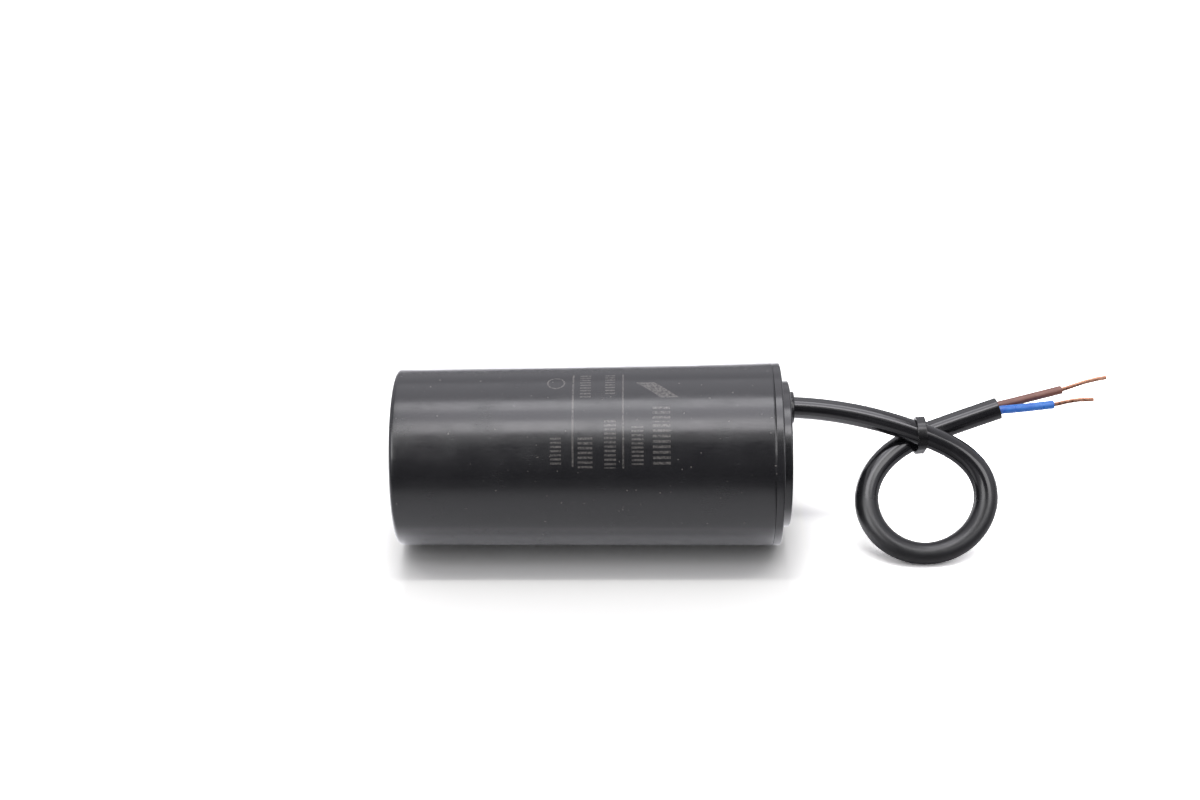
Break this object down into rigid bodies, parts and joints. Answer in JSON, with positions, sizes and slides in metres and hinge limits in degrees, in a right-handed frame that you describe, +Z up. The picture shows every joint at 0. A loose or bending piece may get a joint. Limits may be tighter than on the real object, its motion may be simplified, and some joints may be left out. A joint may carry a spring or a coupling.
{
  "type": "motor run capacitor",
  "caption": "Round black plastic-cased motor run capacitor with a moulded end cover and a short two-core lead tied in a loop, its cores stripped.",
  "frame": {"origin": "on the floor under the case, midway between the case's closed end and the collar's face", "axes": "+X along the case's axis towards the lead, +Y to the back, +Z up"},
  "size_m": [0.1771, 0.045, 0.045],
  "materials": {
    "case_plastic": "satin gloss, moulded black",
    "cover_plastic": "satin gloss, moulded black",
    "resin": "cast resin",
    "metallised_film": "metallised film, wound",
    "wrap_film": "clear film wrap",
    "core_plastic": "moulded",
    "zinc": "sprayed zinc, matt",
    "solder": "bright solder",
    "black_pvc": "satin sheath",
    "brown_pvc": "satin insulation",
    "blue_pvc": "satin insulation",
    "copper": "bare twisted copper strands",
    "tie_nylon": "moulded nylon"
  },
  "bodies": {
    "root": {"case": "case_plastic", "end_cover": "cover_plastic", "potting_resin": "resin", "film_winding": "metallised_film", "winding_wrap": "wrap_film", "core_tube": "core_plastic", "far_zinc_layer": "zinc", "near_zinc_layer": "zinc", "far_solder_joint": "solder", "near_solder_joint": "solder", "cable_sheath": "black_pvc", "brown_insulation": "brown_pvc", "blue_insulation": "blue_pvc", "brown_conductor": "copper", "blue_conductor": "copper", "cable_tie": "tie_nylon"}
  },
  "joints": []
}
